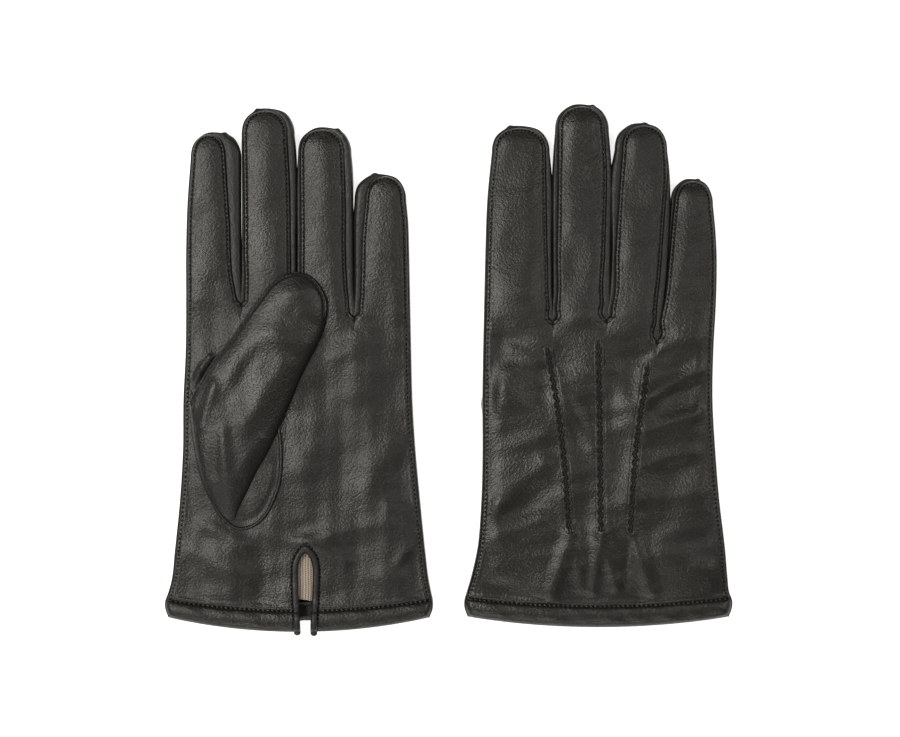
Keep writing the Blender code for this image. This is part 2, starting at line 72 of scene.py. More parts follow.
PATTERNS = {
    "left": {
        "up": "palm", "border": 138.0, "hem_rise": 7.2,
        "sides": (
            ((0, 4, 9, 14, 20, 39, 63, 87, 110, 134, 158, 182, 205, 225.5),
             (-62.4, -63.8, -64, -62.6, -61.2, -59.3, -56.9, -55.5, -55.3, -54.2, -54, -54, -53.3, -51.8)),
            ((150, 165, 182, 225.5), (-25.6, -27, -27.4, -27.6)),
            ((150, 165, 182, 237), (-29.4, -28, -27.5, -27.5)),
            ((150, 165, 180, 220, 229, 237), (0.6, -0.8, -1.1, -0.9, -1.3, -2.1)),
            ((150, 165, 180, 220, 228), (-3, -1.4, -1.2, -1, -0.5)),
            ((145, 162, 177, 203, 222, 228), (28.4, 26.6, 26.3, 26, 25.6, 25)),
            ((145, 162, 180, 200, 205.5), (24.6, 26, 26.1, 26, 26.4)),
            ((0, 4, 9, 14, 20, 39, 63, 87, 110, 134, 158, 182, 195, 205.5),
             (62.4, 63.8, 64, 63.2, 62.2, 60.2, 57.8, 55.6, 54.2, 53.6, 53.1, 52.6, 52.2, 51.2)),
        ),
        "seams": (
            None,
            ((156.6, 157.2, 159, 163, 167.5, 182, 191, 206, 225.5),
             (-27.4, -28.4, -29.6, -30.9, -31.9, -33.1, -33.3, -34.3, -35.5)),
            ((156.6, 157.2, 160, 182, 237), (-27.4, -26.6, -25.9, -25.5, -26)),
            ((152.3, 153, 158, 177, 215, 237), (-1.2, -2.4, -3.8, -4.3, -5, -6.2)),
            ((152.3, 153, 158, 177, 228), (-1.2, -0.2, 0.9, 1.4, 1.2)),
            ((150.4, 151, 154, 160, 177, 205, 228), (26.4, 25.4, 24, 23, 21.9, 21.7, 20.9)),
            ((150.4, 151, 156, 167.5, 187, 205.5), (26.4, 27.4, 29.3, 30.2, 30.7, 32.4)),
            None,
        ),
        "crotches": ((-27.4, 156.6), (-1.2, 152.3), (26.4, 150.4)),
    },
    "right": {
        "up": "back", "border": 124.0, "hem_rise": 5.2,
        "sides": (
            ((0, 4, 9, 13, 22, 37, 60.5, 84, 108, 132, 156, 180, 205, 226.4),
             (-62.4, -63.8, -63.9, -62.9, -60.7, -57.8, -55.9, -55.3, -55.4, -55, -54.5, -53.9, -52.9,
              -50.8)),
            ((140, 155, 175, 215, 226.4), (-20.2, -21.7, -22, -21.9, -23)),
            ((140, 155, 175, 215, 236.7), (-24, -22.3, -22.1, -22, -20.6)),
            ((140, 155, 180, 220, 236.7), (6.4, 6, 6.1, 6.5, 5.3)),
            ((140, 155, 175, 220, 227.6), (1.4, 4.2, 5.9, 6.4, 8)),
            ((130, 145, 156, 179.5, 203, 220, 227.6), (30.2, 30.4, 31.8, 33.7, 34.6, 34, 33.1)),
            ((130, 145, 156, 175, 194, 201), (25.6, 29.8, 31.5, 33.2, 34.1, 34.6)),
            ((0, 4, 9, 13, 22, 37, 60.5, 84, 108, 132, 156, 179.5, 191, 201),
             (62.4, 63.8, 63.9, 62.6, 61.5, 60.2, 57.4, 55.5, 54.2, 54.6, 55.9, 56.4, 55.9, 55)),
        ),
        "seams": (
            None,
            ((145.7, 146.4, 152, 175, 226.4), (-22.1, -22.9, -23.9, -24.8, -25.6)),
            ((145.7, 146.4, 152, 180, 236.7), (-22.1, -21.2, -20, -19.3, -18.3)),
            ((146.6, 147.3, 155, 180, 227, 236.7), (3.6, 2.8, 1.6, 2.4, 3.1, 2.4)),
            ((146.6, 147.3, 152, 179.5, 203, 227.6), (3.6, 4.6, 6.4, 8.6, 10.2, 12.1)),
            ((136.6, 137.3, 146, 170, 194, 217.5, 227.6), (27.4, 26.8, 26.6, 28.8, 30.7, 32.3, 31.7)),
            ((136.6, 137.3, 146, 156, 175, 194, 201), (27.4, 28.2, 29.8, 31.9, 34, 36, 36.8)),
            None,
        ),
        "crotches": ((-22.1, 145.7), (3.6, 146.6), (27.4, 136.6)),
    },
}
FINGERS = ("index", "middle", "ring", "little")
SIDE_SEAM = 0.8     # how far inside the outline the side seams lie
STITCH = 2.1
LEFT_GLOVE_LIFT = 1.3       # the left glove lies on the raised points of its back
# the right glove's underside: its height at the hem, at both ends of its thumb and where its fingertips start,
# and the levels of the first three
DRAPE_HEIGHTS = (1.2, 6.5, 6.5, 0.2)
DRAPE_LEVELS = (0.0, 38.0, 158.0)
DRAPE_ROUNDING = 9.0
TABLE_GAP = 0.05


def through(y, levels, values):
    """A smooth curve through (level, value) pairs: on each stretch the cubic that meets both values with
    the slopes of the chords around them. Beyond the ends it keeps the end values."""
    levels, values = np.array(levels, float), np.array(values, float)
    slopes = np.gradient(values, levels)
    at = np.clip(y, levels[0], levels[-1])
    i = np.clip(np.searchsorted(levels, at) - 1, 0, len(levels) - 2)
    span = levels[i + 1] - levels[i]
    t = (at - levels[i]) / span
    start = (2 * t ** 3 - 3 * t ** 2 + 1) * values[i] + (t ** 3 - 2 * t ** 2 + t) * span * slopes[i]
    return start + (3 * t ** 2 - 2 * t ** 3) * values[i + 1] + (t ** 3 - t ** 2) * span * slopes[i + 1]


def smooth(value, low, high):
    """0 below low, 1 above high and 3t^2 - 2t^3 between them."""
    t = np.clip((value - low) / (high - low), 0, 1)
    return t * t * (3 - 2 * t)


class Pattern:
    """One glove's outline, seams and lie, in its own millimetres."""

    def __init__(self, side):
        self.side = side
        self.data = PATTERNS[side]
        low, high = [np.array(corner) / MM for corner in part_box(side + "_back_leather")]
        self.offset = np.array([(low[0] + high[0]) / 2, low[1], 0.0])
        self.tips = [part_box(f"{side}_{f}_back")[1][1] / MM - self.offset[1] for f in FINGERS]
        self.crotches = self.data["crotches"]
        self.border = self.data["border"]

    def facing(self, word):
        """1 if that face of the glove looks up, -1 if it lies on the table."""
        return 1 if word == self.data["up"] else -1

    def side_line(self, number, y):
        return through(y, *self.data["sides"][number])

    def web(self, number, y):
        """The line between two fingers, carried down the hand from the crotch as the hand flares."""
        x, level = self.crotches[number]
        flare = self.side_line(7, np.minimum(y, level)) / self.side_line(7, level)
        return x * flare

    def seam(self, number, y):
        """x of one of the eight long seams or, below the crotch, of the line that carries it on."""
        if number == 0:
            return self.side_line(0, y) + SIDE_SEAM
        if number == 7:
            return self.side_line(7, y) - SIDE_SEAM
        web = (number - 1) // 2
        outward = 0.7 if number % 2 else -0.7
        spread = outward * smooth(y, self.crotches[web][1], self.crotches[web][1] + 9)
        above = through(y, *self.data["seams"][number]) + spread
        return np.where(y < self.crotches[web][1], self.web(web, y), above)

    def fall_start(self, finger):
        return self.tips[finger] - TIP

    def middle(self, finger, y):
        """Height of the glove's middle over the table: flat, or draped over the thumb and down to the tips
        as a broken line rounded over 18 mm."""
        if self.side == "left":
            return np.full_like(y, LEFT_GLOVE_LIFT + HAND_RISE, dtype=float)
        levels = (*DRAPE_LEVELS, self.fall_start(finger))
        shifts = (0.0, -DRAPE_ROUNDING, DRAPE_ROUNDING)
        lower = sum(np.interp(y + shift, levels, DRAPE_HEIGHTS) for shift in shifts)
        return lower / 3 + HAND_RISE


def seam_relief(d, s, depth=1.0):
    """The edge of a stitched leather: the rim drops over d = 0, a rolled lip stands at 0.7 mm, the thread
    pulls a groove at 1.4 mm that is deepest once a stitch, and the leather puffs again at 2.4 mm."""
    pull = 0.62 + 0.38 * np.cos(2 * np.pi * s / STITCH)
    rim = -0.5 * np.exp(-(d / 0.3) ** 2) + 0.25 * np.exp(-((d - 0.7) / 0.36) ** 2)
    groove = -0.5 * pull * np.exp(-((d - 1.4) / 0.32) ** 2)
    puff = 0.16 * np.exp(-((d - 2.4) / 0.8) ** 2)
    return depth * (rim + groove + puff)


def near_line(x, y, line):
    """Distance of every point to the nearest point of a polyline, and how far along it that is."""
    steps = np.hypot(*np.diff(line, axis=0).T)
    along = np.concatenate([[0], np.cumsum(steps)])
    flat = np.stack([x.ravel(), y.ravel()], axis=1).astype(np.float32)
    best, where = [], []
    for part in np.array_split(flat, max(1, len(flat) // 6000)):
        gap = ((part[:, None] - line[None].astype(np.float32)) ** 2).sum(2)
        nearest = gap.argmin(1)
        best.append(np.sqrt(gap[np.arange(len(part)), nearest]))
        where.append(along[nearest])
    return np.concatenate(best).reshape(x.shape), np.concatenate(where).reshape(x.shape)


def dense(line, step=0.25):
    """A polyline cut into equal steps."""
    line = np.asarray(line, float)
    along = np.concatenate([[0], np.cumsum(np.hypot(*np.diff(line[:, :2], axis=0).T))])
    at = np.arange(0, along[-1], step)
    return np.stack([np.interp(at, along, line[:, k]) for k in range(line.shape[1])], axis=1)


def curve(points, step=0.5):
    """A smooth line through points, at even steps."""
    points = np.array(points, float)
    along = np.concatenate([[0], np.cumsum(np.hypot(*np.diff(points, axis=0).T))])
    at = np.linspace(0, along[-1], int(along[-1] / step) + 1)
    return np.stack([through(at, along, points[:, k]) for k in (0, 1)], axis=1)


# Thin skins never lie flat: they keep low swells where the hand was, and folds that run from what holds them.
# A fold is a line from one point to another with its half width and height.
FOLDS = {
    ("left", "palm"): (
        (3, 43, 42, 53, 4.5, 0.9), (4, 43, 22, 34, 3.0, 0.6), (-2, 43, -18, 47, 3.0, 0.5),
        (44, 60, 53, 58, 4.0, 0.7), (-50, 39, -24, 26, 7.0, 0.9), (22, 30, 48, 22, 7.0, 0.8),
        (-44, 51, -26, 42, 4.0, 0.8), (-52, 118, -42, 131, 1.6, 0.9), (-53, 110, -47, 124, 1.4, 0.8),
        (2, 55, 2, 84, 4.0, 0.5), (30, 66, 46, 90, 7.0, 0.6), (16, 130, 33, 141, 5.0, 0.7),
        (48, 33, 58, 48, 3.0, 0.7), (-58, 30, -55, 52, 3.0, 0.5),
    ),
    ("right", "back"): (
        (23, 110, 50, 124, 4.2, 1.5), (22, 93, 48, 103, 4.0, 1.4), (-52, 56, -26, 77, 5.5, 1.6),
        (-52, 42, -28, 52, 4.2, 1.0), (-46, 112, -26, 96, 8.5, 1.1), (-52, 92, -44, 120, 6.0, 0.7),
        (-18, 112, -3, 86, 4.0, 0.9), (-14, 44, -23, 15, 3.4, 1.1), (-12, 44, -8, 19, 3.0, 0.6),
        (0.7, 46, -3, 17, 2.8, 0.9), (2, 44, 8, 20, 3.2, 0.7), (15, 44, 12, 19, 2.6, -0.5),
        (16, 44, 25, 16, 3.8, 1.2), (28, 60, 52, 70, 5.5, 0.9), (30, 36, 54, 26, 7.0, 0.9),
        (-48, 26, -30, 20, 6.0, 0.8), (-24, 133, -40, 142, 3.4, 0.7), (24, 126, 30, 134, 2.4, 0.6),
        (8, 122, 14, 100, 5.0, 0.6), (-41, 132, -28, 127, 3.2, 0.6), (20, 78, 44, 84, 4.5, 0.7),
    ),
}
SWELL_SEED = {"left": 5, "right": 11}
SWELL_HEIGHT = {"left": 1.3, "right": 1.6}


def swells(x, y, seed, lengths, height):
    """A sum of sine waves in seeded directions, each with its own length and phase."""
    rng = np.random.default_rng(seed)
    total = np.zeros_like(x)
    for length in lengths:
        turn, phase = rng.uniform(0, np.pi), rng.uniform(0, 2 * np.pi)
        total += np.sin(2 * np.pi * (x * np.cos(turn) + y * np.sin(turn)) / length + phase)
    return height * total / len(lengths)


def ridges(x, y, folds):
    """The sum of round-ended ridges, each falling off as a bell curve of the distance to its line."""
    total = np.zeros_like(x)
    for x0, y0, x1, y1, width, height in folds:
        dx, dy = x1 - x0, y1 - y0
        length = math.hypot(dx, dy)
        along = ((x - x0) * dx + (y - y0) * dy) / length
        apart = ((y - y0) * dx - (x - x0) * dy) / length
        past = np.maximum(np.maximum(-along, along - length), 0)
        total += height * np.exp(-(apart ** 2 + past ** 2) / width ** 2)
    return total


def hang(side, word, x, y):
    """How far the leather stands off its plain form: low swells all over and each fold's ridge."""
    seed = SWELL_SEED[side] + (0 if word == "palm" else 40)
    total = swells(x, y, seed, (31.0, 44.0, 26.0, 55.0, 38.0), SWELL_HEIGHT[side])
    total += swells(x, y, seed + 1, (11.0, 14.5, 9.0, 17.0), 0.24)
    return total + ridges(x, y, FOLDS.get((side, word), ()))


# Nappa: fine soft sheepskin, drum-dyed near black with a warm cast and hardly any coating. Its pebbled grain
# shows only where light skims it, and the rubbed high spots are a little smoother.
class Net:
    """Adds nodes to a material; a Wire is one of their outputs, and sums of Wires add Math nodes."""

    def __init__(self, name):
        self.material = bpy.data.materials.new(name)
        self.material.use_nodes = True
        self.tree = self.material.node_tree
        self.shader = self.tree.nodes["Principled BSDF"]

    def node(self, kind, settings=(), values=(), output=0):
        made = self.tree.nodes.new(kind)
        for key, value in dict(settings).items():
            setattr(made, key, value)
        for key, value in dict(values).items():
            if isinstance(value, Wire):
                self.tree.links.new(value.socket, made.inputs[key])
            else:
                made.inputs[key].default_value = value
        return Wire(self, made.outputs[output])

    def feed(self, name, wire):
        self.tree.links.new(wire.socket, self.shader.inputs[name])

    def mix(self, share, first, second):
        kind = {"data_type": "RGBA"}
        return self.node("ShaderNodeMix", kind, {0: share, 6: first, 7: second}, 2)

    def ramp(self, wire, low, high):
        values = {0: wire, 1: low, 2: high}
        return self.node("ShaderNodeMapRange", {"interpolation_type": "SMOOTHSTEP"}, values)


class Wire:
    def __init__(self, net, socket):
        self.net, self.socket = net, socket

    def math(self, operation, first, second):
        return self.net.node("ShaderNodeMath", {"operation": operation}, {0: first, 1: second})

    def __add__(self, other):
        return self.math("ADD", self, other)

    def __sub__(self, other):
        return self.math("SUBTRACT", self, other)

    def __rsub__(self, other):
        return self.math("SUBTRACT", other, self)

    def __mul__(self, other):
        return self.math("MULTIPLY", self, other)

    def sine(self):
        return self.math("SINE", self, 0.0)

    def size(self):
        return self.math("ABSOLUTE", self, 0.0)

    __radd__ = __add__
    __rmul__ = __mul__


def leather(name, colour, rubbed, rough, grain_height):
    """Leather from two sizes of pebbled cells, pores between them, and slow changes of colour and shine."""
    net = Net(name)
    place = net.node("ShaderNodeTexCoord", output=3)
    cells = net.node("ShaderNodeTexVoronoi", {"feature": "SMOOTH_F1"}, {"Vector": place, "Scale": 1050.0})
    small = net.node("ShaderNodeTexVoronoi", {"feature": "F1"}, {"Vector": place, "Scale": 2200.0})
    pores = net.node("ShaderNodeTexNoise", {}, {"Vector": place, "Scale": 900.0, "Detail": 4.0})
    creases = net.node("ShaderNodeTexNoise", {}, {"Vector": place, "Scale": 260.0, "Detail": 5.0,
                                                  "Roughness": 0.62, "Distortion": 0.8})
    slow = net.node("ShaderNodeTexNoise", {}, {"Vector": place, "Scale": 28.0, "Detail": 3.0})
    grain = (1.0 - cells) * 0.55 + (1.0 - small) * 0.2 + pores * 0.5
    height = grain + creases * 0.3
    bump = net.node("ShaderNodeBump", {}, {"Strength": 0.8, "Distance": grain_height, "Height": height})
    net.feed("Normal", bump)
    worn = net.ramp(slow, 0.35, 0.68)
    tone = net.mix(worn, colour, rubbed)
    flecks = net.ramp(pores, 0.42, 0.62)
    net.feed("Base Color", net.mix(flecks * 0.35, tone, (*[c * 0.55 for c in colour[:3]], 1.0)))
    net.feed("Roughness", rough + grain * 0.09 - worn * 0.07)
    net.shader.inputs["Specular IOR Level"].default_value = 0.5
    return net.material


nappa = leather("nappa", (0.0072, 0.0064, 0.0050, 1.0), (0.0115, 0.0102, 0.0080, 1.0), 0.36, 0.0003)


def mesh_piece(name, pattern, points, faces, material):
    """A mesh from points in the glove's millimetres, pressed flat where it would sink into the table."""
    points = points + pattern.offset
    points[:, 2] = np.maximum(points[:, 2], TABLE_GAP)
    mesh = bpy.data.meshes.new(name)
    mesh.from_pydata((points * MM).tolist(), [], faces)
    mesh.shade_smooth()
    mesh.materials.append(material)
    piece = bpy.data.objects.new(name, mesh)
    bpy.context.scene.collection.objects.link(piece)
    return piece


def grid_object(name, pattern, grid, material, face=1, keep=None, pole=None, wrap=False, caps=True):
    """A mesh on a grid of points (rows, columns, xyz). keep picks quads, pole is a point that closes the
    last row, and wrap joins the last column to the first, with caps over its open ends."""
    rows, columns = grid.shape[:2]
    points = grid.reshape(-1, 3)
    across = np.arange(columns if wrap else columns - 1)
    low = np.arange(rows - 1)[:, None] * columns + across[None]
    high = np.arange(rows - 1)[:, None] * columns + (across[None] + 1) % columns
    quads = np.stack([low, high, high + columns, low + columns], axis=-1)
    faces = (quads[keep] if keep is not None else quads.reshape(-1, 4)).tolist()
    if pole is not None:
        points = np.vstack([points, pole])
        last = (rows - 1) * columns + across
        following = (rows - 1) * columns + (across + 1) % columns
        faces += np.stack([last, following, np.full(len(across), len(points) - 1)], axis=1).tolist()
    if wrap and caps:
        faces.append(list(range(columns))[::-1])
        if pole is None:
            faces.append(list(range((rows - 1) * columns, rows * columns)))
    if face < 0:
        faces = [f[::-1] for f in faces]
    return mesh_piece(name, pattern, points, faces, material)


def hand_rise(across):
    """Half thickness of the hand: a rounded slab from seam to seam."""
    return SEAM_RISE + (HAND_RISE - SEAM_RISE) * (1 - np.abs(2 * across - 1) ** 5) ** 0.33


def column_rise(pattern, finger, x, y, u):
    """Half thickness in a finger's column, u from seam to seam: the hand's slab below the crotch that turns
    into the finger's own round section above it, and falls off into the tip."""
    whole_left, whole_right = pattern.seam(0, y), pattern.seam(7, y)
    slab = hand_rise(np.clip((x - whole_left) / (whole_right - whole_left), 0, 1))
    round_section = SEAM_RISE + (FINGER_RISE - SEAM_RISE) * (1 - np.abs(2 * u - 1) ** 2.4) ** 0.5
    webs = [min(max(finger - 1, 0), 2), min(finger, 2)]
    starts = [pattern.crotches[w][1] for w in webs]
    turns = [smooth(y, start - 12, start + 3) ** 2 for start in starts]
    turned = turns[0] * (1 - u) + turns[1] * u
    rise = slab * (1 - turned) + round_section * turned
    past = np.clip((y - pattern.fall_start(finger)) / TIP, 0, 1)
    return rise * (1 - past ** 3.0) ** 0.5


def hem_level(pattern, x, level, word=""):
    """A level near the hem, which curves up towards the sides; on the back it is also cut higher behind
    the vent."""
    cut_higher = word == "back" and pattern.side == "left"
    behind = 4.6 * np.exp(-((x - VENT_X) / 8.0) ** 4) if cut_higher else 0.0
    return level + (1 - np.clip(level / 40, 0, 1)) * (pattern.data["hem_rise"] * (x / 64) ** 2 + behind)


def hand_sheet(pattern, row_step, column_step):
    """Points of one face of the hand, from the inner edge of its hem, round the fold, up to the fingers. A
    level below 0 is that far up the inside of the hem."""
    inner = np.arange(-HEM_DEPTH, 0, 1.2)
    outer = np.arange(0, pattern.border + row_step / 2, row_step)
    outer[-1] = pattern.border
    level, share = np.meshgrid(np.concatenate([inner, outer]), fine_edges(column_step), indexing="ij")
    left, right = pattern.seam(0, np.abs(level)), pattern.seam(7, np.abs(level))
    return left + (right - left) * share, level


def fine_edges(step):
    """Shares from 0 to 1 across about 108 mm, at even steps but four times closer within 4 mm of the ends."""
    edge = np.arange(0, 4.0, min(step, 0.5)) / 108
    inner = np.linspace(4.0, 104.0, int(100 / step)) / 108
    return np.concatenate([edge, inner, 1 - edge[::-1]])


VENT_X, VENT_HALF, VENT_TOP = 3.3, 3.5, 38.0
VENT_ARCH = 9.0     # height of the pointed top of the slit


def vent_line(reach, foot=-2.0):
    """The slit's edge moved out by reach: up one side, round the pointed arch of its top and down again."""
    leg = np.linspace(foot, VENT_TOP - VENT_ARCH, 90)
    rise = np.linspace(0, 1, 26)[1:]
    radius = VENT_HALF + reach
    half = np.concatenate([radius - 1.1 * smooth(-leg, -26, 2), radius * (1 - rise ** 2.2) ** 0.8])
    height = np.concatenate([leg, VENT_TOP - VENT_ARCH + (VENT_ARCH + 1.3 * reach) * rise])
    right = np.stack([VENT_X + half, height], axis=1)
    left = np.stack([VENT_X - half, height], axis=1)
    return np.concatenate([right, left[::-1][1:]])


def inside_vent(x, y, reach):
    """Whether a point lies inside the slit's edge moved out by reach."""
    radius = VENT_HALF + reach
    head = np.clip((y - VENT_TOP + VENT_ARCH) / (VENT_ARCH + 1.3 * reach), 0, 1)
    return np.abs(x - VENT_X) < np.minimum(radius - 0.3, radius * (1 - head ** 2.2) ** 0.8)


POINTS = {
    "index": ((-24.0, 131.0), (-17.6, 90.0), (-14.0, 47.0)),
    "middle": ((-0.2, 134.0), (0.6, 90.0), (0.7, 48.0)),
    "ring": ((23.1, 124.0), (17.8, 88.0), (15.0, 47.0)),
}


def point_line(name):
    """The middle line of one raised point: a bow through its top, middle and lower end."""
    top, middle, low = [np.array(p) for p in POINTS[name]]
    t = np.linspace(0, 1, 280)[:, None]
    return (1 - t) * (1 - 2 * t) * top + 4 * t * (1 - t) * middle + t * (2 * t - 1) * low


HEM_STITCH = 2.2


def hand_height(pattern, word, x, level, channel=True):
    """Height of one face of the hand with its folds, side seams, hem and a channel under each point."""
    face = pattern.facing(word)
    y = np.abs(level)
    rise, middle = np.zeros_like(x), np.zeros_like(x)
    for finger in range(4):
        left, right = pattern.seam(2 * finger, y), pattern.seam(2 * finger + 1, y)
        within = (x >= left - 1e-6) & (x <= right + 1e-6)
        u = np.clip((x - left) / (right - left), 0, 1)
        rise = np.where(within, column_rise(pattern, finger, x, y, u), rise)
        middle = np.where(within, pattern.middle(finger, y), middle)
    edge = np.minimum(x - pattern.seam(0, y), pattern.seam(7, y) - x)
    calm = smooth(edge, 0, 9) * (1 if face > 0 else 0.3)
    rise = rise + hang(pattern.side, word, x, y) * calm * smooth(y, 8, 16)
    rise = rise + seam_relief(edge, y) * smooth(y, HEM_DEPTH - 1, HEM_DEPTH + 1)
    rise = rise + 1.25 * np.sin(np.pi * np.clip(y / HEM_DEPTH, 0, 1)) ** 0.8 * smooth(edge, -1, 3)
    pull = 0.6 + 0.4 * np.cos(2 * np.pi * x / HEM_STITCH)
    rise = rise - (0.3 + 0.5 * pull) * np.exp(-((y - HEM_DEPTH) / 0.7) ** 2)
    rise = rise + 0.35 * np.exp(-((y - HEM_DEPTH - 1.8) / 1.2) ** 2)
    rise = rise + swells(x, y * 0.4, 77 + face, (7.0, 9.5, 5.2), 0.34) * np.exp(-((y - 5) / 4.5) ** 2)
    if word == "back":
        for name in POINTS:
            d = near_line(x, y, point_line(name))[0]
            rise = rise + 0.5 * np.exp(-(d / 4.2) ** 2) - channel * 1.1 * np.exp(-(d / 1.7) ** 4)
    folded = rise - 0.95 * np.exp(-(y / 1.0) ** 2)
    inner = np.minimum(rise, HAND_RISE) - 1.9 + 0.95 * np.exp(-(y / 1.0) ** 2)
    return middle + face * np.where(level < 0, inner, folded)


def make_hand(pattern, word):
    upward = pattern.facing(word) > 0
    x, level = hand_sheet(pattern, 0.5 if upward else 1.5, 0.48 if upward else 2.5)
    z = hand_height(pattern, word, x, level)
    grid = np.stack([x, hem_level(pattern, x, np.abs(level), word), z], axis=-1)
    keep = None
    if word == "palm":
        centre = (grid[:-1, :-1] + grid[1:, 1:]) / 2
        keep = ~inside_vent(centre[..., 0], centre[..., 1], 1.4)
    face = pattern.facing(word)
    piece = grid_object(f"{pattern.side}_{word}_skin", pattern, grid, nappa, face, keep)
    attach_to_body(piece, pattern.side + "_hand")
    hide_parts(f"{pattern.side}_{word}_leather")


patterns = {side: Pattern(side) for side in PATTERNS}
for pattern in patterns.values():
    for word in ("palm", "back"):
        make_hand(pattern, word)


# ---------------------------------------------------------------------------------------------------------
# The sides between the hand's leathers
# Past the side seams the lower skin comes up round the edge of the glove to meet the upper one, and the two
# are stitched edge over edge.

def rolled_strip(seam, outline, middle, seam_rise, columns=13, tuck=0.45):
    """A strip from an upper seam round the outline to the same seam below: in plan it swings out from the
    seam to the outline and back as sin^0.7, and in height it follows cos, tucked under the leather's rim."""
    w = np.linspace(0, 1, columns)[None, :, None]
    turn = np.pi * w
    swing = np.sin(turn) ** 0.7
    plan = seam[:, None, :] * (1 - swing) + outline[:, None, :] * swing
    height = np.sign(np.cos(turn)) * np.abs(np.cos(turn)) ** 0.8
    drop = tuck * np.exp(-(np.minimum(w, 1 - w) / 0.08) ** 2)
    z = middle[:, None, None] + (seam_rise[:, None, None] - drop) * height
    return np.concatenate([plan, z], axis=2)


for pattern in patterns.values():
    for edge, number, finger in (("index", 0, 0), ("little", 7, 3)):
        level = np.arange(0.0, pattern.border + 0.5, 1.0)
        level[-1] = pattern.border
        seam_x, out_x = pattern.seam(number, level), pattern.side_line(number, level)
        seam = np.stack([seam_x, hem_level(pattern, seam_x, level)], axis=1)
        outline = np.stack([out_x, hem_level(pattern, seam_x, level)], axis=1)
        rise = np.full(len(level), SEAM_RISE)
        strip = rolled_strip(seam, outline, pattern.middle(finger, level), rise)
        piece = grid_object(f"{pattern.side}_{edge}_side", pattern, strip, nappa,
                            -1 if number == 0 else 1)
        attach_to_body(piece, pattern.side + "_hand")


# ---------------------------------------------------------------------------------------------------------
# The fingers
# Each finger is a palm leather and a back leather, with fourchettes let in between neighbours. The upper and
# lower leathers are stitched edge over edge, and the seam runs round the tip a little inside it.

side_nappa = leather("side_nappa", (0.0065, 0.006, 0.005, 1.0), (0.009, 0.0083, 0.007, 1.0), 0.43, 0.00028)


def finger_rows(pattern, finger, step):
    """Levels of a finger's rows: even steps to the tip, then closer ones, and the share of the tip's arc."""
    start, fall = pattern.border, pattern.fall_start(finger)
    straight = np.linspace(start, fall, int((fall - start) / step) + 1)
    arc = np.linspace(0, math.pi / 2, int(16 / step) + 2)[1:]
    return straight, arc


def seam_outline(pattern, finger, border=TIP_BORDER):
    """The finger's seam line from its crotch or side up, round the tip and down the other side."""
    fall = pattern.fall_start(finger)
    straight = np.arange(pattern.border, fall, 0.5)
    left = np.stack([pattern.seam(2 * finger, straight), straight], axis=1)
    right = np.stack([pattern.seam(2 * finger + 1, straight), straight], axis=1)
    ends = [float(pattern.seam(2 * finger + k, np.array(fall))) for k in (0, 1)]
    turn = np.linspace(math.pi, 0, 60)
    arch_x = sum(ends) / 2 + (ends[1] - ends[0]) / 2 * powered(np.cos(turn))
    arch_y = fall + (TIP - border) * powered(np.sin(turn))
    keep_left = straight >= (pattern.crotches[max(finger - 1, 0)][1] if finger else 0)
    keep_right = straight >= (pattern.crotches[min(finger, 2)][1] if finger < 3 else 0)
    return np.concatenate([left[keep_left], np.stack([arch_x, arch_y], axis=1), right[keep_right][::-1]])


PEAKS = {"left": (1.25, 1.95, 1.1, 1.75), "right": (1.9, 1.2, 1.45, 1.3)}


def gather(pattern, finger, turn):
    """How far the seam's gathers push the tip out, round its arch: low scallops and one small peak."""
    lean = PEAKS[pattern.side][finger]
    return 0.16 * np.cos(7 * turn) * np.sin(turn) + 0.75 * np.exp(-((turn - lean) / 0.1) ** 2)


def powered(value, power=2 / TIP_POWER):
    """A sine raised to a power with its sign kept, for an arch or a section that is slightly squared."""
    return np.sign(value) * np.abs(value) ** power


def finger_height(pattern, finger, word, x, y, share):
    """Height of one face of a finger, with its folds and the lips of its seams."""
    face = pattern.facing(word)
    rim, along = near_line(x, y, dense(seam_outline(pattern, finger)))
    folds = hang(pattern.side, word, x, y) * (1 if face > 0 else 0.3) * smooth(rim, 0, 9)
    folds = folds * (1 - 0.4 * smooth(y, pattern.border, pattern.border + 25))
    return pattern.middle(finger, y) + face * (column_rise(pattern, finger, x, y, share) + folds
                                               + seam_relief(rim, along))


def make_finger_leather(pattern, finger, word):
    face = pattern.facing(word)
    name = f"{pattern.side}_{FINGERS[finger]}_{word}"
    straight, arc = finger_rows(pattern, finger, 0.5 if face > 0 else 1.6)
    fall = pattern.fall_start(finger)
    ends = [float(pattern.seam(2 * finger + k, np.array(fall))) for k in (0, 1)]
    centre, half = sum(ends) / 2, (ends[1] - ends[0]) / 2
    left = np.concatenate([pattern.seam(2 * finger, straight), centre - half * powered(np.cos(arc))])
    right = np.concatenate([pattern.seam(2 * finger + 1, straight), centre + half * powered(np.cos(arc))])
    level = np.concatenate([straight, fall + (TIP - TIP_BORDER) * powered(np.sin(arc))])
    u = finger_shares(0.5 if face > 0 else 1.6)
    x = left[:, None] + (right - left)[:, None] * u[None]
    y = np.broadcast_to(level[:, None], x.shape).copy()
    z = finger_height(pattern, finger, word, x, y, np.broadcast_to(u[None], x.shape))
    grid = np.stack([x, y, z], axis=-1)
    piece = grid_object(name + "_skin", pattern, grid[:-1], nappa, face, pole=grid[-1, 0])
    attach(piece, pattern, finger)
    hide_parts(name)


def finger_shares(step):
    """Shares across a finger of about 24 mm, closer together within 3.5 mm of its seams."""
    edge = np.arange(0, 3.5, min(step, 0.45)) / 24
    inner = np.linspace(3.5, 20.5, int(17 / max(step, 1.0)) + 1) / 24
    return np.concatenate([edge, inner, 1 - edge[::-1]])


BEND_REACH = 8.0    # how far each side of a joint a bend would reach; nothing is bent with it
